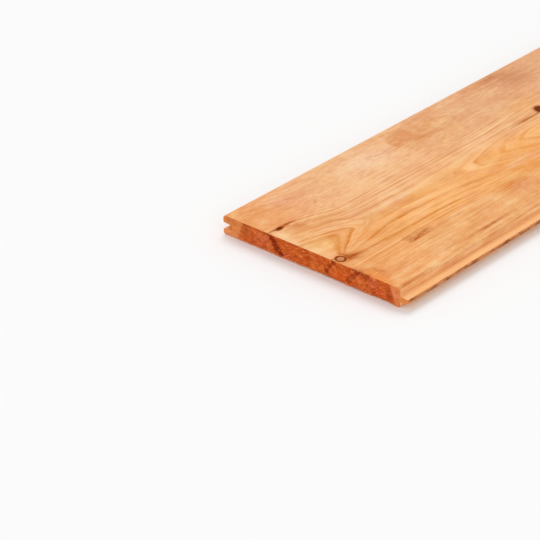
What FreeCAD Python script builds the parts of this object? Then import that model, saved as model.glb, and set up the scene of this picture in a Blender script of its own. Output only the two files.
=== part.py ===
import FreeCAD, Part
import math
import os
import Sketcher

# Tongue and groove board: one length of solid softwood, planed on all four sides.
# Sizes are in millimetres. X runs across the width, with the groove at -X and the tongue at +X,
# Y runs along the length and Z is up. The origin is the middle of the underside.

doc = FreeCAD.newDocument("tongue_and_groove_board")

# Driving sizes: name, value and meaning
sizes = [
    ("board_length", 1800.0, "Length the board is sold in"),
    ("board_thickness", 18.0, "Planed thickness"),
    ("cover_width", 195.0, "Width one laid board covers, groove lip to tongue shoulder"),
    ("tongue_length", 8.4, "How far the tongue stands out from its shoulder"),
    ("tongue_root", 5.4, "Tongue thickness at the shoulder"),
    ("tongue_taper", 5.0, "Slope of the tongue's and the groove's sides, in degrees"),
    ("tongue_round", 1.5, "Round on both corners of the tongue's nose"),
    ("tongue_middle", 8.2, "Height of the tongue's and the groove's middle over the underside"),
    ("side_clearance", 0.3, "Room over and under a tongue at the groove's mouth"),
    ("nose_clearance", 1.6, "Room between a tongue's nose and the groove's floor"),
    ("groove_round", 1.0, "Round in both corners of the groove's floor"),
    ("mouth_lead", 0.8, "Small bevel on both sides of the groove's mouth"),
    ("lower_lip_setback", 0.4, "How far the lower lip stops short of the upper one"),
    ("joint_bevel", 1.8, "Bevel on both edges of the face, which makes the V of a joint"),
    ("underside_round", 2.5, "Round on both edges of the underside"),
]
sheet = doc.addObject("Spreadsheet::Sheet", "Sizes")
for row, (alias, value, meaning) in enumerate(sizes, start=1):
    sheet.set("A%d" % row, alias)
    sheet.set("B%d" % row, str(value))
    sheet.set("C%d" % row, meaning)
    sheet.setAlias("B%d" % row, alias)
doc.recompute()

# Starting places for the sketch, which the sheet's formulas below then drive
first = dict((alias, value) for alias, value, meaning in sizes)
thick = first["board_thickness"]
middle = first["tongue_middle"]
taper = first["tongue_taper"]
nose_r = first["tongue_round"]
floor_r = first["groove_round"]
lead = first["mouth_lead"]
bevel = first["joint_bevel"]
under_r = first["underside_round"]
slope = math.tan(math.radians(taper))
nose_x = (first["cover_width"] + first["tongue_length"]) / 2
shoulder_x = nose_x - first["tongue_length"]
lip_x = -nose_x
low_lip_x = lip_x + first["lower_lip_setback"]
depth = first["tongue_length"] + first["nose_clearance"]
floor_x = lip_x + depth
root_half = first["tongue_root"] / 2
nose_half = root_half - slope * first["tongue_length"]
mouth_half = root_half + first["side_clearance"]
floor_half = mouth_half - slope * depth

body = doc.addObject("PartDesign::Body", "Board")
body.Label = "tongue_and_groove_board"
xz_plane = [feature for feature in body.Origin.OriginFeatures if feature.Role == "XZ_Plane"][0]

# Cross-section of the board, seen along its length
section = body.newObject("Sketcher::SketchObject", "Section")
section.AttachmentSupport = (xz_plane, [""])
section.MapMode = "FlatFace"

START = 1
END = 2
ORIGIN = (-1, 1)
WIDTH_AXIS = -1


def line(x0, z0, x1, z1):
    segment = Part.LineSegment(FreeCAD.Vector(x0, z0, 0), FreeCAD.Vector(x1, z1, 0))
    return section.addGeometry(segment, False)


def arc(x, z, radius, from_deg, to_deg):
    circle = Part.Circle(FreeCAD.Vector(x, z, 0), FreeCAD.Vector(0, 0, 1), radius)
    part_of_it = Part.ArcOfCircle(circle, math.radians(from_deg), math.radians(to_deg))
    return section.addGeometry(part_of_it, False)


def rule(kind, *where):
    return section.addConstraint(Sketcher.Constraint(kind, *where))


def join(one, other):
    rule("Coincident", one, END, other, START)


def blend(one, one_end, other, other_end):
    rule("Tangent", one, one_end, other, other_end)


def size(kind, name, value, formula, *where):
    index = section.addConstraint(Sketcher.Constraint(kind, *where, value))
    section.renameConstraint(index, name)
    section.setExpression("Constraints." + name, formula)


# Underside and tongue, from left to right and up
under = line(low_lip_x + under_r, 0, shoulder_x - under_r, 0)
under_right = arc(shoulder_x - under_r, under_r, under_r, 270, 360)
low_shoulder = line(shoulder_x, under_r, shoulder_x, middle - root_half)
tongue_low = line(shoulder_x, middle - root_half, nose_x - nose_r, middle - nose_half)
nose_low = arc(nose_x - nose_r, middle - nose_half + nose_r, nose_r, 270 + taper, 360)
nose = line(nose_x, middle - nose_half + nose_r, nose_x, middle + nose_half - nose_r)
nose_up = arc(nose_x - nose_r, middle + nose_half - nose_r, nose_r, 0, 90 - taper)
tongue_up = line(nose_x - nose_r, middle + nose_half, shoulder_x, middle + root_half)
up_shoulder = line(shoulder_x, middle + root_half, shoulder_x, thick - bevel)

# Face with its two bevels, from right to left
bevel_right = line(shoulder_x, thick - bevel, shoulder_x - bevel, thick)
face = line(shoulder_x - bevel, thick, lip_x + bevel, thick)
bevel_left = line(lip_x + bevel, thick, lip_x, thick - bevel)

# Upper lip, groove and lower lip, going down
up_lip = line(lip_x, thick - bevel, lip_x, middle + mouth_half + lead)
lead_up = line(lip_x, middle + mouth_half + lead, lip_x + lead, middle + mouth_half)
groove_up = line(lip_x + lead, middle + mouth_half, floor_x - floor_r, middle + floor_half)
floor_up = arc(floor_x - floor_r, middle + floor_half - floor_r, floor_r, 0, 90 - taper)
floor = line(floor_x, middle + floor_half - floor_r, floor_x, middle - floor_half + floor_r)
floor_low = arc(floor_x - floor_r, middle - floor_half + floor_r, floor_r, 270 + taper, 360)
groove_low = line(floor_x - floor_r, middle - floor_half, low_lip_x + lead, middle - mouth_half)
lead_low = line(low_lip_x + lead, middle - mouth_half, low_lip_x, middle - mouth_half - lead)
low_lip = line(low_lip_x, middle - mouth_half - lead, low_lip_x, under_r)
under_left = arc(low_lip_x + under_r, under_r, under_r, 180, 270)

# Which way the straight pieces lie
for piece in (under, face):
    rule("Horizontal", piece)
for piece in (low_shoulder, nose, up_shoulder, up_lip, floor, low_lip):
    rule("Vertical", piece)

# Corners that stay sharp
join(low_shoulder, tongue_low)
join(tongue_up, up_shoulder)
join(up_shoulder, bevel_right)
join(bevel_right, face)
join(face, bevel_left)
join(bevel_left, up_lip)
join(up_lip, lead_up)
join(lead_up, groove_up)
join(groove_low, lead_low)
join(lead_low, low_lip)

# Corners that are rounded
blend(under, END, under_right, START)
blend(under_right, END, low_shoulder, START)
blend(tongue_low, END, nose_low, START)
blend(nose_low, END, nose, START)
blend(nose, END, nose_up, START)
blend(nose_up, END, tongue_up, START)
blend(groove_up, END, floor_up, END)
blend(floor_up, START, floor, START)
blend(floor, END, floor_low, END)
blend(floor_low, START, groove_low, START)
blend(low_lip, END, under_left, START)
blend(under_left, END, under, START)

# Heights over the underside
rule("PointOnObject", under, START, WIDTH_AXIS)
size("DistanceY", "thickness", thick, "Sizes.board_thickness", *ORIGIN, face, START)
size("DistanceY", "tongue_root_low", middle - root_half,
     "Sizes.tongue_middle - Sizes.tongue_root / 2", *ORIGIN, tongue_low, START)
size("DistanceY", "tongue_root_up", middle + root_half,
     "Sizes.tongue_middle + Sizes.tongue_root / 2", *ORIGIN, tongue_up, END)
size("DistanceY", "mouth_up", middle + mouth_half,
     "Sizes.tongue_middle + Sizes.tongue_root / 2 + Sizes.side_clearance", *ORIGIN, groove_up, START)
size("DistanceY", "mouth_low", middle - mouth_half,
     "Sizes.tongue_middle - Sizes.tongue_root / 2 - Sizes.side_clearance", *ORIGIN, groove_low, END)

# Places across the width
size("DistanceX", "nose_place", nose_x,
     "(Sizes.cover_width + Sizes.tongue_length) / 2", *ORIGIN, nose, START)
size("DistanceX", "upper_shoulder_place", shoulder_x,
     "(Sizes.cover_width - Sizes.tongue_length) / 2", *ORIGIN, up_shoulder, START)
size("DistanceX", "lower_shoulder_place", shoulder_x,
     "(Sizes.cover_width - Sizes.tongue_length) / 2", *ORIGIN, low_shoulder, END)
size("DistanceX", "upper_lip_place", -lip_x,
     "(Sizes.cover_width + Sizes.tongue_length) / 2", up_lip, START, *ORIGIN)
size("DistanceX", "lower_lip_place", -low_lip_x,
     "(Sizes.cover_width + Sizes.tongue_length) / 2 - Sizes.lower_lip_setback",
     low_lip, START, *ORIGIN)
size("DistanceX", "groove_depth", depth,
     "Sizes.tongue_length + Sizes.nose_clearance", up_lip, END, floor, START)

# Bevels on the face's edges and at the groove's mouth
size("DistanceX", "right_bevel_width", bevel, "Sizes.joint_bevel", bevel_right, END, bevel_right, START)
size("DistanceY", "right_bevel_drop", bevel, "Sizes.joint_bevel", bevel_right, START, bevel_right, END)
size("DistanceX", "left_bevel_width", bevel, "Sizes.joint_bevel", bevel_left, END, bevel_left, START)
size("DistanceY", "left_bevel_drop", bevel, "Sizes.joint_bevel", bevel_left, END, bevel_left, START)
size("DistanceX", "upper_lead_depth", lead, "Sizes.mouth_lead", lead_up, START, lead_up, END)
size("DistanceY", "upper_lead_rise", lead, "Sizes.mouth_lead", lead_up, END, lead_up, START)
size("DistanceX", "lower_lead_depth", lead, "Sizes.mouth_lead", lead_low, END, lead_low, START)
size("DistanceY", "lower_lead_rise", lead, "Sizes.mouth_lead", lead_low, END, lead_low, START)

# Rounds
size("Radius", "right_under_round", under_r, "Sizes.underside_round", under_right)
size("Radius", "left_under_round", under_r, "Sizes.underside_round", under_left)
size("Radius", "lower_nose_round", nose_r, "Sizes.tongue_round", nose_low)
size("Radius", "upper_nose_round", nose_r, "Sizes.tongue_round", nose_up)
size("Radius", "lower_floor_round", floor_r, "Sizes.groove_round", floor_low)
size("Radius", "upper_floor_round", floor_r, "Sizes.groove_round", floor_up)

# Slopes of the tongue's and the groove's sides
size("Angle", "tongue_low_slope", math.radians(taper), "Sizes.tongue_taper * 1 deg", tongue_low)
size("Angle", "tongue_up_slope", math.radians(taper - 180),
     "(Sizes.tongue_taper - 180) * 1 deg", tongue_up)
size("Angle", "groove_up_slope", math.radians(-taper), "-Sizes.tongue_taper * 1 deg", groove_up)
size("Angle", "groove_low_slope", math.radians(180 - taper),
     "(180 - Sizes.tongue_taper) * 1 deg", groove_low)
doc.recompute()

# The section, drawn out equally to both sides over the full length
board = body.newObject("PartDesign::Pad", "Length")
board.Profile = section
if hasattr(board, "SideType"):
    board.SideType = "Symmetric"
else:
    board.Midplane = True
board.setExpression("Length", "Sizes.board_length")
section.Visibility = False
doc.recompute()

# Everything is sound before the solid is written
if section.solve() != 0 or not section.FullyConstrained:
    raise RuntimeError("the section is not fully set by its sizes")
for item in doc.Objects:
    for bad in ("Invalid", "Error"):
        if bad in item.State:
            raise RuntimeError("%s is in state %s" % (item.Name, item.State))
    if item.isDerivedFrom("Part::Feature") and item.Name != "Section":
        if item.Shape.isNull() or not item.Shape.isValid():
            raise RuntimeError("%s has no valid shape" % item.Name)
if len(body.Shape.Solids) != 1:
    raise RuntimeError("the board is not one solid")

os.makedirs("parts", exist_ok=True)
body.Shape.exportStep("parts/%s.step" % body.Label)

box = body.Shape.BoundBox
print("width %.2f, length %.2f, thickness %.2f" % (box.XLength, box.YLength, box.ZLength))
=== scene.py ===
import math

import bpy
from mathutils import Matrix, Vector, geometry, noise


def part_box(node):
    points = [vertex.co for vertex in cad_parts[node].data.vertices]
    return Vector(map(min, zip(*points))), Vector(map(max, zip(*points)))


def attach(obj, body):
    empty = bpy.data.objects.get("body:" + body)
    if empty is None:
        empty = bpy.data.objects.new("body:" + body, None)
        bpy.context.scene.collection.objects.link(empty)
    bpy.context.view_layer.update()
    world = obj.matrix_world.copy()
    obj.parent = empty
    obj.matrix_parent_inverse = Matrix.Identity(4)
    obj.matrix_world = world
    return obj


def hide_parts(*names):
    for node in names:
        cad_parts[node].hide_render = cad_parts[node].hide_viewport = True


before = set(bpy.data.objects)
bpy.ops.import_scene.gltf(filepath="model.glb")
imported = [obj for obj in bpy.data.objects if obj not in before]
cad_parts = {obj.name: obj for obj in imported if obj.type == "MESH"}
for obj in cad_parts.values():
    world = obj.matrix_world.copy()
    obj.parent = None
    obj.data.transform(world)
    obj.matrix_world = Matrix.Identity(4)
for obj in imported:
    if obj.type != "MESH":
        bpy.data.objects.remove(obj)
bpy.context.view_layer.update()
NODE = "tongue_and_groove_board"
BODY = "root"
MM = 0.001

# Section of the board in millimetres, as the part is built
lo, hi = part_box(NODE)
LIP_X = lo.x / MM
NOSE_X = hi.x / MM
THICK = hi.z / MM
LENGTH = (hi.y - lo.y) / MM
NEAR_Y = lo.y / MM
TONGUE_LENGTH = 8.4
TONGUE_HALF = 2.7
TONGUE_MIDDLE = 8.2
TONGUE_SLOPE = math.tan(math.radians(5.0))
TONGUE_ROUND = 1.5
SIDE_CLEARANCE = 0.3
GROOVE_DEPTH = 10.0
GROOVE_ROUND = 1.0
MOUTH_LEAD = 0.8
LIP_SETBACK = 0.4
BEVEL = 1.8
UNDER_ROUND = 2.5
ARRIS = 0.3
INNER_CORNER = 0.25
ROUND_STEPS = 4
FACE_X = LIP_X + BEVEL


def section_corners():
    """Corners of the section as (x, z, round), going round from the underside's left."""
    shoulder = NOSE_X - TONGUE_LENGTH
    nose_half = TONGUE_HALF - TONGUE_SLOPE * TONGUE_LENGTH
    mouth_half = TONGUE_HALF + SIDE_CLEARANCE
    floor_half = mouth_half - TONGUE_SLOPE * (GROOVE_DEPTH - MOUTH_LEAD)
    floor = LIP_X + GROOVE_DEPTH
    low_lip = LIP_X + LIP_SETBACK
    mid = TONGUE_MIDDLE
    return [
        (low_lip, 0, UNDER_ROUND),
        (shoulder, 0, UNDER_ROUND),
        (shoulder, mid - TONGUE_HALF, INNER_CORNER),
        (NOSE_X, mid - nose_half, TONGUE_ROUND),
        (NOSE_X, mid + nose_half, TONGUE_ROUND),
        (shoulder, mid + TONGUE_HALF, INNER_CORNER),
        (shoulder, THICK - BEVEL, ARRIS),
        (shoulder - BEVEL, THICK, ARRIS),
        (LIP_X + BEVEL, THICK, ARRIS),
        (LIP_X, THICK - BEVEL, ARRIS),
        (LIP_X, mid + mouth_half + MOUTH_LEAD, INNER_CORNER),
        (LIP_X + MOUTH_LEAD, mid + mouth_half, INNER_CORNER),
        (floor, mid + floor_half, GROOVE_ROUND),
        (floor, mid - floor_half, GROOVE_ROUND),
        (low_lip + MOUTH_LEAD, mid - mouth_half, INNER_CORNER),
        (low_lip, mid - mouth_half - MOUTH_LEAD, INNER_CORNER),
    ]


def rounded(corners, steps):
    """Points along the section with each corner rounded."""
    points = []
    for i, (x, z, radius) in enumerate(corners):
        here = Vector((x, z))
        before = Vector(corners[i - 1][:2])
        after = Vector(corners[(i + 1) % len(corners)][:2])
        back = (before - here).normalized()
        on = (after - here).normalized()
        half_angle = math.acos(max(-1.0, min(1.0, back.dot(on)))) / 2
        cut = radius / math.tan(half_angle)
        centre = here + (back + on).normalized() * (radius / math.sin(half_angle))
        first = here + back * cut - centre
        turn = math.pi - 2 * half_angle
        if first.x * on.y - first.y * on.x < 0:
            turn = -turn
        for k in range(steps + 1):
            a = turn * k / steps
            spoke = Vector((first.x * math.cos(a) - first.y * math.sin(a),
                            first.x * math.sin(a) + first.y * math.cos(a)))
            points.append(centre + spoke)
    return points


# Spacing of the mesh, in millimetres. Across the face: (from, to, step), from the groove side's arris
FINE_STRETCHES = [(45, 57, 0.45), (114, 134, 0.75)]
FACE_STEP = 4.0
SIDE_STEP = 3.6
CORNER_STEP = 0.4
SHORT_RUN = 1.6
LONG_RUN = 6.0

# Along the board: (up to this distance from the near end, step)
FIRST_STATION = 0.9
ALONG_STEPS = [(34.0, 0.85), (60.0, 3.0), (LENGTH - 12.0, 14.0)]
LAST_STATIONS = [LENGTH - 6.0, LENGTH - 1.0]
ARRIS_STEPS = 3
NEAR_END_STEP = 1.3
FAR_END_STEP = 3.0


def face_step(x):
    """Spacing of the mesh across the face, finer where a knot or slit breaks it."""
    across = x - FACE_X
    for start, end, step in FINE_STRETCHES:
        if start < across < end:
            return step
    return FACE_STEP


def along_section(points):
    """Adds points on the long straight runs, with a short step next to each corner."""
    out = []
    for i, here in enumerate(points):
        there = points[(i + 1) % len(points)]
        run = there - here
        step = run.normalized()
        out.append(here)
        if run.length < LONG_RUN:
            if run.length > SHORT_RUN:
                out.append(here + step * CORNER_STEP)
                out.append(there - step * CORNER_STEP)
            continue
        on_face = here.y > THICK - 0.01
        at = CORNER_STEP
        while at < run.length - 0.3:
            out.append(here + step * at)
            at += face_step((here + step * at).x) if on_face else SIDE_STEP
        if (out[-1] - there).length > 2 * CORNER_STEP:
            out.append(there - step * CORNER_STEP)
    return out


def stations():
    """Places along the length as (distance from the near end, how far the section is drawn in)."""
    ease = []
    for k in range(ARRIS_STEPS + 1):
        a = math.radians(90 / ARRIS_STEPS * k)
        ease.append((ARRIS * (1 - math.cos(a)), ARRIS * (1 - math.sin(a))))
    rows = list(ease)
    at = FIRST_STATION
    for limit, step in ALONG_STEPS:
        while at < limit:
            rows.append((at, 0))
            at += step
    rows.extend((at, 0) for at in LAST_STATIONS)
    rows.extend((LENGTH - y, inset) for y, inset in reversed(ease))
    return rows


def inset_points(points, amount):
    """The section drawn in by an amount all round."""
    out = []
    for i, here in enumerate(points):
        tangent = points[(i + 1) % len(points)] - points[i - 1]
        inward = Vector((-tangent.y, tangent.x)).normalized()
        out.append(here + inward * amount)
    return out


def near_segment(p, a, b):
    """Distance from p to the run a to b, and how far along it that is."""
    run = b - a
    t = max(0.0, min(1.0, (p - a).dot(run) / run.length_squared))
    return (p - a - run * t).length, t


# Slit and knot at the near end, from the groove side's arris and from the near end: ((across, along), width)
SLIT = [
    ((50.4, -2.0), 0.25),
    ((49.8, 6.0), 0.5),
    ((50.6, 12.5), 1.0),
    ((52.0, 16.5), 0.9),
    ((50.3, 21.0), 0.45),
    ((49.6, 30.0), 0.15),
]
SLIT_DEPTH = 1.1
KNOT = (124.6, 6.6)
KNOT_RING = 4.9
KNOT_RING_DEPTH = 0.22
KNOT_RING_WIDE = 0.9
RELIEF_REACH = 40.0

# The near end's lower edge, torn upward by the saw
TORN_DEEPEST = 1.1
TORN_REACH = 1.8
TORN_TO = 6.0
UNDERSIDE_BELOW = 0.45

# The saw's marks on the ends
SAW_MARK = 0.09


def relief(across, along):
    """How far the face lies below its plane at a point, in millimetres."""
    p = Vector((across, along))
    deep = 0.0
    for (a, wide_a), (b, wide_b) in zip(SLIT, SLIT[1:]):
        d, t = near_segment(p, Vector(a), Vector(b))
        wide = wide_a + (wide_b - wide_a) * t
        deep = max(deep, SLIT_DEPTH * min(1.0, wide) * math.exp(-(d / wide) ** 2))
    off_ring = (p - Vector(KNOT)).length - KNOT_RING
    return max(deep, KNOT_RING_DEPTH * math.exp(-(off_ring / KNOT_RING_WIDE) ** 2))


def breakout(x, along):
    """How far the saw tore the lower edge of the near end upward, in millimetres."""
    ragged = noise.noise(Vector((x / 6.5, 2.5, 0.0))) + noise.noise(Vector((x / 17.0, 7.5, 0.0)))
    torn = min(TORN_DEEPEST, max(0.0, 0.45 + 1.2 * ragged))
    return torn * math.exp(-(along / TORN_REACH) ** 2)


def saw_mark(x, z):
    """How far a sawn end lies behind its plane, in millimetres."""
    ridge = noise.noise(Vector(((x + z * 0.5) / 1.7, (z - x * 0.5) / 9.0, 0.0)))
    return SAW_MARK + SAW_MARK * ridge


def sweep(base, rows):
    """The section's points at every station, and the faces from station to station."""
    verts = []
    for along, inset in rows:
        ring = inset_points(base, inset) if inset else base
        for p in ring:
            z = p.y
            if z > THICK - 0.02 and along < RELIEF_REACH:
                z -= relief(p.x - FACE_X, along)
            if z < UNDERSIDE_BELOW and along < TORN_TO:
                z += breakout(p.x, along)
            verts.append((p.x * MM, (NEAR_Y + along) * MM, z * MM))
    count = len(base)
    faces = []
    for r in range(len(rows) - 1):
        for i in range(count):
            j = (i + 1) % count
            faces.append((r * count + i, r * count + j, (r + 1) * count + j, (r + 1) * count + i))
    return verts, faces


def fill_end(verts, faces, first, count, spacing, inward):
    """Fills one end with small triangles, whose inner points carry the saw's marks."""
    edge = [Vector((verts[first + i][0] / MM, verts[first + i][2] / MM)) for i in range(count)]
    loop = [(i, (i + 1) % count) for i in range(count)]
    inner = []
    for column in range(1, int((NOSE_X - LIP_X) / spacing)):
        for row in range(1, int(THICK / spacing)):
            shift = (row % 2) * spacing / 2
            inner.append(Vector((LIP_X + column * spacing + shift, row * spacing + 0.3)))
    filled = geometry.delaunay_2d_cdt(edge + inner, loop, [], 1, 1e-4)
    points, triangles, sources = filled[0], filled[2], filled[3]
    index = []
    for p, source in zip(points, sources):
        rim = [s for s in source if s < count]
        if rim:
            index.append(first + rim[0])
        else:
            index.append(len(verts))
            behind = MM * saw_mark(p.x, p.y) * inward
            verts.append((p.x * MM, verts[first][1] + behind, p.y * MM))
    for triangle in triangles:
        face = [index[k] for k in triangle]
        faces.append(face if inward > 0 else face[::-1])


def build_board():
    """One skin round the whole board: its long sides and its two sawn ends."""
    base = along_section(rounded(section_corners(), ROUND_STEPS))
    rows = stations()
    count = len(base)
    verts, faces = sweep(base, rows)
    fill_end(verts, faces, 0, count, NEAR_END_STEP, 1)
    fill_end(verts, faces, (len(rows) - 1) * count, count, FAR_END_STEP, -1)

    mesh = bpy.data.meshes.new("planed_board")
    mesh.from_pydata(verts, [], faces)
    mesh.update()
    mesh.shade_smooth()
    mesh.set_sharp_from_angle(angle=math.radians(50))
    board = bpy.data.objects.new("planed_board", mesh)
    bpy.context.scene.collection.objects.link(board)
    return board


class Num:
    """A number in a node tree, so that a formula for it can be written out plainly."""

    tree = None

    def __init__(self, socket):
        self.socket = socket

    @classmethod
    def op(cls, name, *values):
        """One step of arithmetic, on numbers that are plain or worked out by nodes."""
        node = cls.tree.nodes.new("ShaderNodeMath")
        node.operation = name
        for slot, value in zip(node.inputs, values):
            if isinstance(value, Num):
                cls.tree.links.new(value.socket, slot)
            else:
                slot.default_value = value
        return cls(node.outputs[0])

    def __add__(self, other):
        return Num.op("ADD", self, other)

    def __radd__(self, other):
        return Num.op("ADD", other, self)

    def __sub__(self, other):
        return Num.op("SUBTRACT", self, other)

    def __rsub__(self, other):
        return Num.op("SUBTRACT", other, self)

    def __mul__(self, other):
        return Num.op("MULTIPLY", self, other)

    def __rmul__(self, other):
        return Num.op("MULTIPLY", other, self)

    def __truediv__(self, other):
        return Num.op("DIVIDE", self, other)

    def __neg__(self):
        return Num.op("MULTIPLY", self, -1.0)


def clamp01(value):
    """The value, kept from 0 to 1."""
    return Num.op("MINIMUM", Num.op("MAXIMUM", value, 0.0), 1.0)


def smooth(value, low, high):
    """0 below low, 1 above high and an eased climb between."""
    node = Num.tree.nodes.new("ShaderNodeMapRange")
    node.interpolation_type = "SMOOTHSTEP"
    Num.tree.links.new(value.socket, node.inputs["Value"])
    node.inputs["From Min"].default_value = low
    node.inputs["From Max"].default_value = high
    return Num(node.outputs["Result"])


def hill(value):
    """1 where the value is 0, falling to nothing on both sides."""
    return Num.op("POWER", 1 / math.e, value * value)


def vector(x, y, z):
    """A point from three numbers, each plain or worked out by nodes."""
    node = Num.tree.nodes.new("ShaderNodeCombineXYZ")
    for slot, value in zip(node.inputs, (x, y, z)):
        if isinstance(value, Num):
            Num.tree.links.new(value.socket, slot)
        else:
            slot.default_value = value
    return node.outputs[0]


def noise_at(x, y, z, detail=2.0, rough=0.5):
    """Noise from about -0.5 to 0.5 at a place given in cells."""
    node = Num.tree.nodes.new("ShaderNodeTexNoise")
    node.inputs["Scale"].default_value = 1.0
    node.inputs["Detail"].default_value = detail
    node.inputs["Roughness"].default_value = rough
    Num.tree.links.new(vector(x, y, z), node.inputs["Vector"])
    return Num(node.outputs["Fac"]) - 0.5


def chance(value, seed):
    """An even random number from 0 to 1 for each whole number."""
    node = Num.tree.nodes.new("ShaderNodeTexWhiteNoise")
    node.noise_dimensions = "2D"
    Num.tree.links.new(vector(value, seed, 0.0), node.inputs["Vector"])
    return Num(node.outputs["Value"])


def srgb(red, green, blue):
    """A colour as a picture gives it, from 0 to 255, turned into what a shader takes."""

    def linear(c):
        c = c / 255
        return c / 12.92 if c <= 0.04045 else ((c + 0.055) / 1.055) ** 2.4

    return (linear(red), linear(green), linear(blue), 1.0)


def blend_colour(amount, first, second, mode="MIX"):
    """Mixes two colours, each a plain colour or a socket."""
    node = Num.tree.nodes.new("ShaderNodeMix")
    node.data_type = "RGBA"
    node.blend_type = mode
    node.clamp_factor = True
    for slot, value in ((node.inputs[0], amount), (node.inputs[6], first), (node.inputs[7], second)):
        if isinstance(value, Num):
            Num.tree.links.new(value.socket, slot)
        elif isinstance(value, bpy.types.NodeSocket):
            Num.tree.links.new(value, slot)
        else:
            slot.default_value = value
    return node.outputs[2]


def distance_to_run(x, y, z, a, b):
    """Distance to the straight run from a to b, and how far along it, from 0 to 1."""
    ax, ay, az = a
    dx, dy, dz = b[0] - ax, b[1] - ay, b[2] - az
    long2 = dx * dx + dy * dy + dz * dz
    t = clamp01(((x - ax) * dx + (y - ay) * dy + (z - az) * dz) / long2)
    ex = x - ax - t * dx
    ey = y - ay - t * dy
    ez = z - az - t * dz
    return Num.op("SQRT", ex * ex + ey * ey + ez * ez), t


def smooth_max(first, second, reach):
    """The larger of two numbers, rounded where they come within reach of each other."""
    return Num.op("SMOOTH_MAX", first, second, reach)


def greater(first, second):
    """The larger of two numbers, with a sharp corner where they cross."""
    return Num.op("MAXIMUM", first, second)


def lesser(first, second):
    """The smaller of two numbers."""
    return Num.op("MINIMUM", first, second)


def times_plus(first, second, third):
    """first * second + third, in one node."""
    return Num.op("MULTIPLY_ADD", first, second, third)


def length(*sides):
    """How long a line is that spans these distances."""
    total = sides[0] * sides[0]
    for side in sides[1:]:
        total = total + side * side
    return Num.op("SQRT", total)


def swayed(colour, amount, darker, lighter):
    """A colour drawn toward a darker one where the amount is below 0 and a lighter one above it."""
    colour = blend_colour(-amount, colour, darker)
    return blend_colour(amount, colour, lighter)


def patch(x, y, across, along, wide, long, turn=0.0):
    """1 at the middle of a soft oval on the face, 0 outside it."""
    c = math.cos(math.radians(turn))
    s = math.sin(math.radians(turn))
    u = times_plus(y, c / long, -(along * c + across * s) / long)
    v = times_plus(x, c / wide, -(across * c - along * s) / wide)
    if turn:
        u = times_plus(x, s / long, u)
        v = times_plus(y, -s / wide, v)
    return Num.op("POWER", 1 / math.e, times_plus(u, u, v * v))


# Studio: floor, world, lamps as (name, energy, spread in degrees, direction of its light's source), camera
FLOOR = 60.0
FLOOR_GAP = 0.0002
FLOOR_COLOUR = (0.97, 0.97, 0.97, 1)
WORLD_STRENGTH = 0.62
LAMPS = [
    ("window", 1.0, 35, (-0.45, 0.55, 1.0)),
    ("fill", 0.7, 60, (0.6, -0.75, 0.6)),
]
SENSOR = 36
LENS = 160
CAMERA_PLACE = (1.1268, -2.2492, 0.9979)
CAMERA_DOWN = 29.56
CAMERA_TURN = 41.05

# Colours of the wood as the photograph shows them
PLAIN = srgb(246, 189, 138)
WARM = srgb(252, 184, 115)
PINK = srgb(241, 183, 133)
LATE = srgb(212, 122, 22)
LATE_PINK = srgb(228, 160, 110)
NEAR_END = srgb(239, 161, 97)
END_HEART = srgb(208, 96, 36)
END_LATE = srgb(172, 68, 24)
END_SAP = srgb(230, 138, 76)
END_SPECK = srgb(140, 56, 26)
END_DARK = srgb(142, 50, 18)
END_PALE = srgb(240, 146, 84)
END_KNOT = srgb(132, 34, 0)
BARK = srgb(136, 50, 0)
KNOT_HEART = srgb(214, 140, 88)
FLAME = srgb(178, 76, 8)
CREAM = srgb(252, 207, 156)
BROWN = srgb(206, 128, 72)
FAR_TINT = srgb(226, 167, 124)
DARK_STREAK = srgb(192, 98, 28)
TAN = srgb(231, 161, 98)
LOOP = srgb(222, 138, 52)
BLUSH = srgb(240, 170, 124)
GLOW = srgb(250, 198, 132)
GRAIN_DARK = srgb(206, 122, 64)
GRAIN_PALE = srgb(255, 222, 172)

# Colours of the marks on it
REDDENED = srgb(242, 146, 72)
RED_EDGE = srgb(204, 108, 46)
ARRIS_BURN = srgb(164, 66, 20)
STAIN = srgb(222, 150, 96)
SCORCH = srgb(184, 92, 32)
TRAIL = srgb(210, 134, 80)
KNOT_HALO = srgb(198, 104, 36)
KNOT_CRESCENT = srgb(164, 84, 40)
FAR_KNOT_HEART = srgb(112, 36, 0)
SLIT_FRONT = srgb(150, 64, 4)
SLIT_TAIL = srgb(182, 82, 14)
TONGUE_PALE = srgb(255, 198, 138)
# Painted shade on the tongue's nose, and its deeper patches
NOSE_PAINTED_SHADE = srgb(206, 128, 78)
NOSE_DEEP_PAINTED_SHADE = srgb(132, 62, 26)
END_FOOT = srgb(230, 136, 94)

# The tree's middle, under the face, and the rings round it
RING_WIDTH = 2.1
PITH_X = 103.0
PITH_Z = -41.0

# The heart's own outline, a little off the rings
HEART_X = 101.5
HEART_Z = -21.0
HEART_RADIUS = 88.7

# Round the first knot the rings lean toward it up to this far from the near end, and fan out from it
CREST_X = 103.5
LEAN_END = 75.0
LEAN_SLOPE = 0.26
FAN_X = 126.0
FAN_FROM = 5.0
FAN_LONG = 60.0

# A second knot on the face, farther on
FAR_KNOT = (81.5, 352.0)

# Where the photograph ends, the wood grows plainer over this stretch from the near end
SEEN_TO = 300.0
UNSEEN_FROM = 460.0
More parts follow.
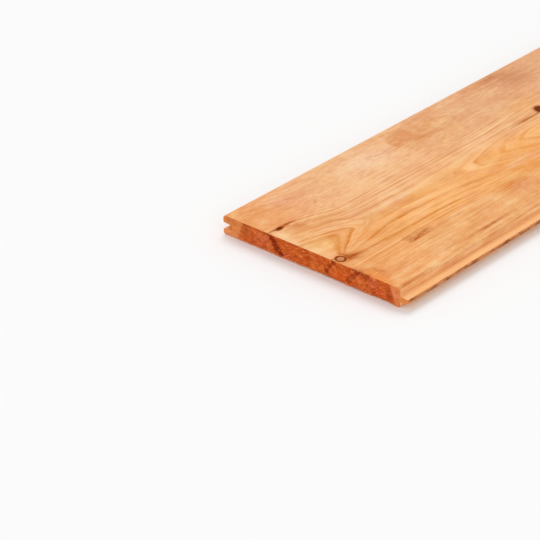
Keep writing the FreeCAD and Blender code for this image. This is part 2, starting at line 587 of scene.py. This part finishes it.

# Soft patches of another tint on the face, among them a painted highlight and painted shade along the
# tongue-side arris: (across, along, half width, half length, turn, colour, strength)
PATCHES = [
    # A painted highlight, whitish pink, over the groove side
    (26, 160, 17, 34, 0, srgb(250, 209, 172), 0.75),
    (34, 231, 1.6, 10, 0, DARK_STREAK, 0.5),
    (155, 214, 11, 15, 0, srgb(216, 118, 34), 0.85),
    (134, 252, 18, 56, 0, srgb(236, 152, 72), 0.7),
    (30, 58, 9, 14, 0, srgb(240, 168, 132), 0.5),
    (18, 50, 8, 12, 0, srgb(240, 178, 144), 0.6),
    (60, 134, 8, 12, 0, srgb(246, 190, 150), 0.6),
    (42, 71, 1.2, 3, -25, srgb(206, 128, 82), 0.8),
    (12, 53, 1.2, 4, 0, srgb(216, 140, 92), 0.7),
    # The next two: painted shade along the tongue-side arris and bevel
    (193.6, 60, 2.4, 12, 0, srgb(214, 124, 66), 0.8),
    (190.6, 44, 1.2, 12, 0, srgb(214, 128, 72), 0.7),
    (194, 96, 2.6, 12, 0, srgb(246, 196, 160), 0.5),
    # Painted shade along the tongue-side bevel
    (194, 130, 1.0, 22, 0, srgb(212, 134, 84), 0.7),
    (19, 390, 16, 28, 0, srgb(204, 132, 92), 0.8),
    (24, 252, 13, 26, 0, srgb(228, 160, 108), 0.6),
    (5, 372, 4, 16, 0, srgb(190, 112, 70), 0.7),
    (62, 5, 10, 7, 0, CREAM, 0.9),
    (86, 3, 24, 7, -8, CREAM, 0.75),
    (59, 27, 7.5, 10, 20, srgb(206, 112, 46), 0.85),
    (88, 69, 1.0, 8, 43, srgb(214, 132, 70), 0.6),
    (98, 70, 1.0, 8, -35, srgb(214, 132, 70), 0.6),
    (96, 18, 9, 12, 0, srgb(255, 204, 136), 0.8),
    (107, 27, 2.4, 8, -32, srgb(252, 178, 108), 0.7),
    (49, 24, 7, 12, 0, srgb(236, 146, 78), 0.6),
    (102, 118, 3.8, 50, 0, srgb(234, 162, 78), 0.5),
    (92, 122, 4.5, 42, 0, CREAM, 0.7),
    (182.5, 139, 1.4, 26, 0, srgb(186, 92, 28), 1.0),
    (180, 86, 1.1, 11, 0, srgb(214, 140, 76), 0.7),
    (130.2, 50, 1.5, 25, 2, srgb(210, 116, 30), 0.85),
    (133.3, 112, 1.5, 42, 1, srgb(222, 140, 52), 0.55),
    (85.3, 327, 1.9, 21, 0, srgb(180, 98, 0), 1.0),
    (84.5, 345, 1.8, 5, -10, srgb(150, 68, 8), 0.9),
    (66, 340, 12, 34, 0, srgb(238, 168, 102), 0.6),
    (126, 98, 3.2, 36, 0, srgb(255, 194, 122), 0.6),
    (131.8, 16, 1.7, 6, 24, srgb(186, 92, 26), 0.8),
    (112, 264, 21, 32, 0, srgb(243, 168, 90), 0.5),
    (100, 175, 16, 34, 0, srgb(252, 194, 130), 0.5),
    # Painted shade along the tongue-side arris
    (190.8, 14, 0.8, 26, 0, srgb(186, 98, 46), 0.9),
    (104, 70, 5, 12, 0, srgb(226, 148, 84), 0.4),
]

# Tints of the near end: (across, up, half width, half height, colour, strength)
END_PATCHES = [
    (24, 13, 4.5, 6, srgb(160, 80, 34), 0.75),
    (44, 11, 8, 4, srgb(216, 114, 76), 0.7),
    (40, 5, 8, 4, srgb(220, 104, 60), 0.6),
    (70, 3, 7, 3, srgb(206, 92, 72), 0.6),
    (78, 12, 9, 6, srgb(206, 90, 26), 0.5),
    (92, 13, 6, 4, srgb(184, 68, 20), 0.6),
    (88, 5, 6, 3, srgb(226, 102, 46), 0.6),
    (104, 5, 6, 4, srgb(232, 122, 52), 0.7),
    (104, 13, 4, 3, srgb(190, 66, 32), 0.6),
    (128, 6, 7, 4, srgb(230, 98, 32), 0.75),
    (139, 6, 4, 4, srgb(224, 88, 24), 0.75),
    (148, 7, 5, 6, srgb(222, 112, 58), 0.6),
    (164, 12, 5, 6, srgb(208, 98, 66), 0.6),
    (173, 6, 5, 4, srgb(214, 78, 42), 0.6),
    (181, 9, 3.5, 7, srgb(170, 62, 24), 0.75),
    (6, 4, 8, 4, srgb(244, 160, 98), 0.7),
    (8, 15, 9, 3.5, srgb(192, 112, 62), 0.6),
    (188, 11, 4, 5, srgb(238, 136, 92), 0.7),
]

# Stained runs across the near end: (top, foot, full within, gone past, strength), each place as (across, up)
END_STAINS = [
    ((122.5, 18.0), (111.5, 2.0), 0.5, 3.0, 0.7),
    ((51.0, 18.0), (65.0, 1.0), 1.6, 4.4, 0.95),
    ((149.0, 18.0), (137.0, 4.0), 0.8, 3.4, 0.6),
    ((144.0, 17.8), (159.0, 17.8), 0.6, 3.6, 0.8),
]


def plain_rings(x):
    """Ring number across the face where no knot bends the rings."""
    rise = THICK - PITH_Z
    dx = x - PITH_X
    return (Num.op("SQRT", dx * dx + rise * rise) - rise) / RING_WIDTH


def loops_by_knot(x, y):
    """Ring number near the first knot: rings that lean toward it meet those that fan out from it."""
    from_lean = LEAN_END - y
    level = x + from_lean * smooth(from_lean, -10.0, 25.0) * LEAN_SLOPE
    side = greater(CREST_X - level, 0.0)
    upper = plain_rings(lesser(level, PITH_X)) + (1.0 - Num.op("EXPONENT", side / -6.0)) * 1.7
    upper = upper - greater(level - CREST_X, 0.0) / 5.0

    reach = -smooth_max(-greater(y - FAN_FROM, 3.0), -FAN_LONG, 16.0)
    slope = lesser(greater((FAN_X - x) / reach, -0.13), 1.6)
    bent = lesser(slope, 0.7)
    fan = 4.0 - 7.2 * bent + 3.3 * bent * bent - (slope - bent) * 2.58
    fan = smooth_max(fan, plain_rings(x) + 1.45 - (1.0 - smooth(x, 112.0, 134.0)) * 8.0, 1.2)
    return smooth_max(upper, fan, 4.2) - (1.0 - smooth(y, 50.0, 92.0)) * 0.33


def far_loops(x, y):
    """How far the ring number sinks in the loops that open again, farther on."""
    off = (x - 109.0) / 24.0
    opening = smooth_max((y - 197.0) / 32.0, 0.0, 1.5) * hill(off * off)
    return opening * (1.0 - smooth(y, 320.0, 480.0))


def rings_on_face(x, y):
    """Ring number on the face: pointed loops at the first knot, then a crest, then the far loops."""
    x = x - smooth(y, 110.0, 230.0) * hill((x - 125.0) / 30.0) * 7.0
    x = x + (1.0 - smooth(y, 50.0, 90.0)) * hill((x - 97.0) / 13.0) * 2.6
    past_knot = hill((y - FAR_KNOT[1]) / 42.0) * hill((x - FAR_KNOT[0]) / 20.0)
    x = x - (x - FAR_KNOT[0]) * past_knot * 0.62
    return loops_by_knot(x, y) - far_loops(x, y)


def ring_field(x, y, z):
    """Ring number and distance from the pith anywhere in the board."""
    dx = x - PITH_X
    dz = z - PITH_Z
    radius = Num.op("SQRT", dx * dx + dz * dz)
    rise = THICK - PITH_Z
    under_face = (radius - Num.op("SQRT", dx * dx + rise * rise)) / RING_WIDTH
    slow = noise_at(x / 70.0, y / 260.0, z / 70.0, 2.0) * (smooth(y, 260.0, 620.0) * 7.0 + 0.7)
    quick = noise_at(x / 8.0, y / 55.0, z / 8.0, 3.0) * 0.75
    return rings_on_face(x, y) + under_face + slow + quick - 0.1, radius + quick * 4.0


class Spot:
    """Where a point of the board lies, in millimetres, and the rings that pass through it."""

    def __init__(self):
        nodes = Num.tree.nodes
        links = Num.tree.links
        place = nodes.new("ShaderNodeTexCoord")
        parts = nodes.new("ShaderNodeSeparateXYZ")
        links.new(place.outputs["Object"], parts.inputs[0])
        self.x = Num(parts.outputs[0]) * (1.0 / MM) - FACE_X
        self.y = Num(parts.outputs[1]) * (1.0 / MM) - NEAR_Y
        self.z = Num(parts.outputs[2]) * (1.0 / MM)
        facing = nodes.new("ShaderNodeNewGeometry")
        facing_parts = nodes.new("ShaderNodeSeparateXYZ")
        links.new(facing.outputs["Normal"], facing_parts.inputs[0])
        self.endways = smooth(Num.op("ABSOLUTE", Num(facing_parts.outputs[1])), 0.35, 0.75)
        self.by_face = smooth(self.z, 9.0, 15.0)
        self.unseen = smooth(self.y, SEEN_TO, UNSEEN_FROM)
        self.ragged_x = self.x + self.noise(3.0, 12.0, 3.0, 3.0) * 1.6
        self.ragged_y = self.y + self.noise(4.0, 14.0, 4.0, 2.0) * 9.0

        # A ring is pale, darkens slowly and ends at a sharp edge
        self.ring, self.radius = ring_field(self.x, self.y, self.z)
        self.whole_ring = Num.op("FLOOR", self.ring)
        part = self.ring - self.whole_ring
        self.late = smooth(part, 0.45, 0.85) * (1.0 - smooth(part, 0.9, 1.0))
        self.strength = self.ring_strength()
        self.hair = noise_at(self.ring * 3.0, self.y / 110.0, self.z / 9.0, 3.0, 0.6)

    def noise(self, across, along, up, detail=2.0, rough=0.5):
        """Noise with cells of this size, in millimetres."""
        return noise_at(self.x / across, self.y / along, self.z / up, detail, rough)

    def ring_strength(self):
        """How dark the late wood of each ring is, with a strong first loop and little inside it."""
        ring = self.whole_ring
        every_other = Num.op("COSINE", ring * math.pi) * 0.24 + 0.74
        by_knot = 1.0 - smooth(Num.op("ABSOLUTE", ring - 2.0), 3.5, 4.5)
        strength = by_knot * every_other + (1.0 - by_knot) * (chance(ring, 3.0) * 0.7 + 0.1)
        by_loops = 1.0 - smooth(self.y, 60.0, 120.0)
        first_loop = hill((ring + 1.0) / 0.4) * by_loops
        inside = (1.0 - smooth(ring, -1.7, -1.3)) * by_loops
        return (strength + first_loop * 0.5) * (1.0 - inside * 0.8)

    def ring_show(self):
        """How plainly the rings show: least by the groove, and evenly where the photograph sees nothing."""
        show = smooth(self.x, 44.0, 76.0) * (1.0 - smooth(self.x, 140.0, 164.0) * 0.8) * 0.88 + 0.12
        return greater(show, greater(self.unseen, 1.0 - self.by_face) * 0.6)

    def ring_lines(self, show):
        """Late wood on the face, patchy except where the lines bunch by the knot."""
        patchy = smooth(self.noise(20.0, 60.0, 20.0, 2.0), -0.25, 0.2)
        bunched = patch(self.x, self.y, 108.0, 34.0, 13.0, 26.0, -30.0)
        softer = 1.0 - smooth(self.y, 120.0, 210.0) * 0.35
        return self.late * self.strength * greater(patchy * 0.55 + 0.45, bunched) * show * softer


def plain_face(spot, ring_lines):
    """Tint of the face by zones that wander a little, with the ring lines on it."""
    x, y = spot.x, spot.y
    wander = spot.noise(26.0, 80.0, 26.0, 3.0)
    less_warm = smooth(x + wander * 30.0, 138.0, 176.0) * 0.35
    warm = smooth(x + wander * 36.0, 86.0, 106.0) * (1.0 - less_warm)
    pink = 1.0 - smooth(x + wander * 44.0, 22.0, 66.0)
    tanned = smooth(x, 136.0, 158.0) * smooth(y, 50.0, 90.0)
    far = smooth(y, 205.0, 330.0) * (1.0 - smooth(x, 46.0, 100.0))
    face = blend_colour(warm, PLAIN, WARM)
    face = blend_colour(pink, face, PINK)
    face = blend_colour((1.0 - smooth(y + wander * 60.0, 14.0, 92.0)) * 0.8, face, NEAR_END)
    face = blend_colour(tanned * 0.55, face, TAN)
    face = blend_colour(ring_lines, face, blend_colour(pink, LATE, LATE_PINK))
    return blend_colour(far * 0.7, face, FAR_TINT)


def patched(spot, face):
    """Soft patches on the upper side, among them a painted highlight and painted shade, and the broad band
    of the innermost loop.
    """
    marked = face
    for across, along, wide, long, turn, colour, amount in PATCHES:
        oval = patch(spot.ragged_x, spot.ragged_y, across, along, wide, long, turn)
        marked = blend_colour(oval * amount, marked, colour)
    face = blend_colour(spot.by_face, face, marked)
    loop = hill((spot.ring + 0.4) / 0.42) * (1.0 - smooth(spot.y, 44.0, 60.0))
    return blend_colour(loop * spot.by_face * smooth(spot.x, 76.0, 88.0) * 0.7, face, LOOP)


def reddened_end(spot, face):
    """Reddened wood along the near end, with a hump toward the tongue and a burn on the arris."""
    x = spot.x
    up_to = spot.ragged_y - hill((x - 163.0) / 19.0) * 15.0
    edge_line = hill((up_to + 2.0) / 3.0) * hill((x - 157.0) / 14.0)
    arris_burn = hill((x - 151.0) / 9.0) * (1.0 - smooth(spot.ragged_y, 0.5, 5.0))
    face = blend_colour((1.0 - smooth(up_to, -7.0, 2.0)) * spot.by_face * 0.85, face, REDDENED)
    face = blend_colour(edge_line * spot.by_face * 0.75, face, RED_EDGE)
    return blend_colour(arris_burn * 0.9, face, ARRIS_BURN)


def stained(spot, face):
    """A stain by the groove that starts at a rounded front and fades away from it."""
    front = spot.ragged_y + hill((spot.x - 26.0) / 14.0) * 7.0
    stain = smooth(front, 203.0, 210.0) * hill((spot.x - 27.0) / 21.0)
    stain = stain * (1.0 - smooth(spot.ragged_y, 222.0, 300.0))
    return blend_colour(stain * spot.by_face * 0.9, face, STAIN)


def smeared(spot, face):
    """A scorched smear with one sharp side, and the dotted trail that runs on from it."""
    x, y = spot.ragged_x, spot.ragged_y
    along_smear = smooth(y, 64.0, 70.0) * (1.0 - smooth(y, 90.0, 104.0))
    smear = smooth(x, 136.0, 150.0) * (1.0 - smooth(x, 151.0, 152.4)) * along_smear
    scorch = smooth(noise_at(spot.x / 4.0, spot.y / 7.0, 3.0, 3.0), -0.15, 0.15) * 0.6 + 0.4
    face = blend_colour(smear * scorch * spot.by_face, face, SCORCH)
    along_trail = smooth(y, 84.0, 98.0) * (1.0 - smooth(y, 128.0, 150.0))
    trail = smooth(x, 147.0, 149.6) * (1.0 - smooth(x, 151.4, 152.6)) * along_trail
    dots = smooth(noise_at(spot.x / 1.5, spot.y / 2.5, 0.0, 2.0), -0.2, 0.15)
    return blend_colour(trail * dots * spot.by_face * 0.75, face, TRAIL)


def grained(spot, face, show):
    """Slow changes of hue, scattered flecks, and fibres that run along the rings and the board."""
    strand = spot.noise(1.2, 55.0, 1.2, 3.0, 0.6)
    mottle = spot.noise(3.6, 8.0, 3.6, 3.0, 0.6)
    cloud = spot.noise(16.0, 34.0, 16.0, 3.0, 0.6)
    hue = noise_at(spot.x / 20.0, spot.y / 48.0, spot.z / 20.0 + 7.0, 3.0, 0.55)
    fleck = smooth(spot.noise(1.6, 9.0, 1.6, 3.0, 0.6), 0.12, 0.26)
    tinted = 1.0 - spot.unseen * 0.6
    face = blend_colour(smooth(hue, 0.0, 0.2) * tinted * 0.45, face, BLUSH)
    face = blend_colour(smooth(-hue, 0.0, 0.2) * tinted * 0.35, face, GLOW)
    face = blend_colour(fleck * 0.4, face, BROWN)
    hair_share = hill((spot.x - 66.0) / 14.0) + 1.4
    strand_share = smooth(spot.x, 189.5, 191.0) * 1.7 + smooth(spot.x, 138.0, 158.0) * 0.6 + 0.9
    grain = spot.hair * hair_share + strand * strand_share + mottle * (1.2 - show * 0.8)
    grain = grain + cloud * (1.2 - spot.unseen * 0.7)
    return swayed(face, grain, GRAIN_DARK, GRAIN_PALE)


def near_knot(spot, face):
    """The knot by the tongue: a bark ring round a paler heart, and the flame of grain behind it."""
    x, y, by_face = spot.x, spot.y, spot.by_face
    knot, _ = distance_to_run(x, y, spot.z, (*KNOT, THICK), (KNOT[0] - 11.8, KNOT[1] - 0.4, 0.0))
    knot = knot + spot.noise(4.0, 4.0, 4.0, 2.0) * 2.6
    halo = patch(x, y, 125.4, 13.5, 5.4, 4.6, 10.0)
    flame = patch(x, y, 128.2, 19.0, 2.8, 8.5, 9.0)
    crescent = hill((knot - 7.8) / 0.9) * smooth(y, 9.0, 14.0)
    crack = patch(x, y, 119.6, 1.0, 0.6, 2.6, 14.0)
    beside_crack = patch(x, y, 117.8, 2.6, 0.8, 2.2, 14.0)
    face = blend_colour(halo * by_face * 0.9, face, KNOT_HALO)
    face = blend_colour(flame * by_face, face, FLAME)
    face = blend_colour((1.0 - smooth(knot, 4.5, 5.6)) * 0.95, face, BARK)
    face = blend_colour((1.0 - smooth(knot, 2.4, 3.7)) * 0.95, face, KNOT_HEART)
    face = blend_colour(crescent * by_face * 0.7, face, KNOT_CRESCENT)
    face = blend_colour(crack * by_face * 0.8, face, BARK)
    return blend_colour(beside_crack * by_face * 0.7, face, CREAM)


def far_knot(spot, face):
    """The far knot, dark right through the board."""
    foot = (FAR_KNOT[0] + 6.0, FAR_KNOT[1] - 9.0, 0.0)
    knot, _ = distance_to_run(spot.x, spot.y, spot.z, (*FAR_KNOT, THICK), foot)
    knot = knot + spot.noise(3.0, 4.0, 3.0, 2.0) * 2.5
    face = blend_colour((1.0 - smooth(knot, 5.6, 9.0)) * 0.7, face, FLAME)
    return blend_colour((1.0 - smooth(knot, 4.2, 7.2)) * 0.95, face, FAR_KNOT_HEART)


def bark_slit(spot, face):
    """The slit of bark in the face, with a thin run to the end of the board and a dark tail."""
    x = spot.x + noise_at(spot.x / 2.0, spot.y / 4.0, 5.0, 2.0) * 2.6
    front = patch(x, spot.y, 49.4, 8.0, 0.9, 7.0)
    tail = patch(x, spot.y, 50.6, 23.0, 1.9, 9.5, 2.0)
    bark = smooth(patch(x, spot.y, 51.0, 13.2, 2.5, 5.2, -10.0), 0.15, 0.7)
    face = blend_colour(front * spot.by_face * 0.9, face, SLIT_FRONT)
    face = blend_colour(tail * spot.by_face, face, SLIT_TAIL)
    return blend_colour(bark * spot.by_face, face, BARK)


def tongue_and_nose_shade(spot, face):
    """The tongue, paler than the face, and painted shade on its nose, deeper in patches."""
    nose_x = NOSE_X - FACE_X
    shoulder_x = nose_x - TONGUE_LENGTH
    tongue = smooth(spot.x, shoulder_x - 1.0, shoulder_x + 1.0)
    nose = smooth(spot.x, nose_x - 1.1, nose_x - 0.2)
    # Where the painted shade on the nose is deepest
    shade_patches = smooth(noise_at(spot.y / 16.0, spot.z / 3.0, 4.0, 3.0, 0.7), -0.04, 0.1)
    face = blend_colour(tongue * 0.7, face, TONGUE_PALE)
    # Painted shade on the nose, deeper in patches
    face = blend_colour(nose * 0.85, face, NOSE_PAINTED_SHADE)
    return blend_colour(nose * shade_patches * 0.8, face, NOSE_DEEP_PAINTED_SHADE)


def sawn_end(spot):
    """Colour of a sawn end and how rough it is: ring arcs, rays, pits and the runs of the knots."""
    x, y, z = spot.x, spot.y, spot.z
    pore = spot.noise(1.4, 6.0, 1.4, 3.0, 0.7)
    blotch = spot.noise(6.0, 12.0, 4.0, 3.0, 0.6)
    speck = smooth(spot.noise(1.6, 9.0, 1.6, 3.0, 0.7), 0.08, 0.2)
    turn = Num.op("ARCTAN2", x - PITH_X, z - PITH_Z)
    ray = noise_at(turn * 62.0, spot.radius / 9.0, 0.0, 2.0, 0.5)
    fibre = noise_at(spot.ring * 1.4, x / 7.0, 0.0, 2.0, 0.6)
    ringed = hill((x - 86.0) / 24.0)
    rayed = hill((x - 152.0) / 22.0)
    pitted = hill((x - 26.0) / 16.0)

    from_heart = length(x - HEART_X, z - HEART_Z) + blotch * 2.0
    sap = smooth(from_heart, HEART_RADIUS - 1.2, HEART_RADIUS + 1.2)
    arcs = spot.late * (spot.strength * 0.5 + 0.35) * (0.35 + ringed * 0.65)
    end = blend_colour(arcs, END_HEART, END_LATE)
    end = blend_colour(sap, end, END_SAP)
    for across, up, wide, tall, colour, amount in END_PATCHES:
        oval = patch(x + pore * 3.0, z + pore * 3.0, across, up, wide, tall)
        end = blend_colour(oval * amount, end, colour)
    end = blend_colour(speck * (0.2 + pitted * 0.5) * (1.0 - sap * 0.8), end, END_SPECK)
    for top, foot, near_it, past_it, amount in END_STAINS:
        run, _ = distance_to_run(x, y, z, (top[0], 0.0, top[1]), (foot[0], 0.0, foot[1]))
        ragged = run + blotch * 4.0 + pore * 2.0 + ray * 2.0
        end = blend_colour((1.0 - smooth(ragged, near_it, past_it)) * amount, end, END_KNOT)
    end = blend_colour((1.0 - smooth(z + blotch * 2.0, 0.9, 2.3)) * 0.8, end, END_FOOT)
    figure = pore * 0.9 + blotch * 2.0 + fibre * (0.5 + ringed * 1.6) + ray * (0.4 + rayed * 1.7)
    end = swayed(end, figure * (1.2 - sap * 0.5) - 0.03, END_DARK, END_PALE)
    return end, figure - speck


def wood():
    """Planed softwood, worked out at each point of the board from the tree it was cut from."""
    material = bpy.data.materials.new("planed_softwood")
    material.use_nodes = True
    tree = material.node_tree
    Num.tree = tree
    spot = Spot()
    show = spot.ring_show()
    ring_lines = spot.ring_lines(show)

    face = plain_face(spot, ring_lines)
    face = patched(spot, face)
    face = reddened_end(spot, face)
    face = stained(spot, face)
    face = smeared(spot, face)
    face = grained(spot, face, show)
    face = near_knot(spot, face)
    face = far_knot(spot, face)
    face = bark_slit(spot, face)
    face = tongue_and_nose_shade(spot, face)
    end, end_rough = sawn_end(spot)

    shader = tree.nodes["Principled BSDF"]
    shader.inputs["Roughness"].default_value = 0.62
    shader.inputs["Specular IOR Level"].default_value = 0.03
    tree.links.new(blend_colour(spot.endways, face, end), shader.inputs["Base Color"])
    bump = tree.nodes.new("ShaderNodeBump")
    bump.inputs["Strength"].default_value = 0.35
    bump.inputs["Distance"].default_value = 0.2 * MM
    height = ring_lines * 0.5 + spot.hair * 0.8 + end_rough * spot.endways
    tree.links.new(height.socket, bump.inputs["Height"])
    tree.links.new(bump.outputs[0], shader.inputs["Normal"])
    return material


def build_floor():
    """A plain pale floor just under the board."""
    mesh = bpy.data.meshes.new("floor")
    corners = [(-FLOOR, -FLOOR, 0), (FLOOR, -FLOOR, 0), (FLOOR, FLOOR, 0), (-FLOOR, FLOOR, 0)]
    mesh.from_pydata(corners, [], [(0, 1, 2, 3)])
    floor = bpy.data.objects.new("floor", mesh)
    floor.location.z = -FLOOR_GAP
    bpy.context.scene.collection.objects.link(floor)
    look = bpy.data.materials.new("pale_floor")
    look.use_nodes = True
    shader = look.node_tree.nodes["Principled BSDF"]
    shader.inputs["Base Color"].default_value = FLOOR_COLOUR
    shader.inputs["Roughness"].default_value = 0.9
    shader.inputs["Specular IOR Level"].default_value = 0.0
    mesh.materials.append(look)
    return floor


def light_scene():
    """An even white world and two wide lamps, one over the groove side and a weaker one in front."""
    world = bpy.data.worlds.new("studio")
    world.use_nodes = True
    bpy.context.scene.world = world
    background = world.node_tree.nodes["Background"]
    background.inputs["Color"].default_value = (1, 1, 1, 1)
    background.inputs["Strength"].default_value = WORLD_STRENGTH
    for name, energy, spread, toward in LAMPS:
        lamp_data = bpy.data.lights.new(name, "SUN")
        lamp_data.energy = energy
        lamp_data.angle = math.radians(spread)
        lamp = bpy.data.objects.new(name, lamp_data)
        lamp.rotation_euler = Vector(toward).to_track_quat("Z", "Y").to_euler()
        bpy.context.scene.collection.objects.link(lamp)


def place_camera():
    """The photograph's viewpoint, fitted to the straight edges of the board in it."""
    camera_data = bpy.data.cameras.new("camera")
    camera_data.sensor_width = SENSOR
    camera_data.lens = LENS
    camera_data.clip_start = 0.05
    camera_data.clip_end = 200
    camera = bpy.data.objects.new("camera", camera_data)
    camera.location = CAMERA_PLACE
    camera.rotation_euler = (math.radians(90 - CAMERA_DOWN), 0, math.radians(CAMERA_TURN))
    bpy.context.scene.collection.objects.link(camera)
    bpy.context.scene.camera = camera


# The board, dressed and tied to its solid, then the studio round it
board = build_board()
board.data.materials.append(wood())
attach(board, BODY)
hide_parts(NODE)

floor = build_floor()
light_scene()
place_camera()
bpy.context.scene.view_settings.view_transform = "Standard"
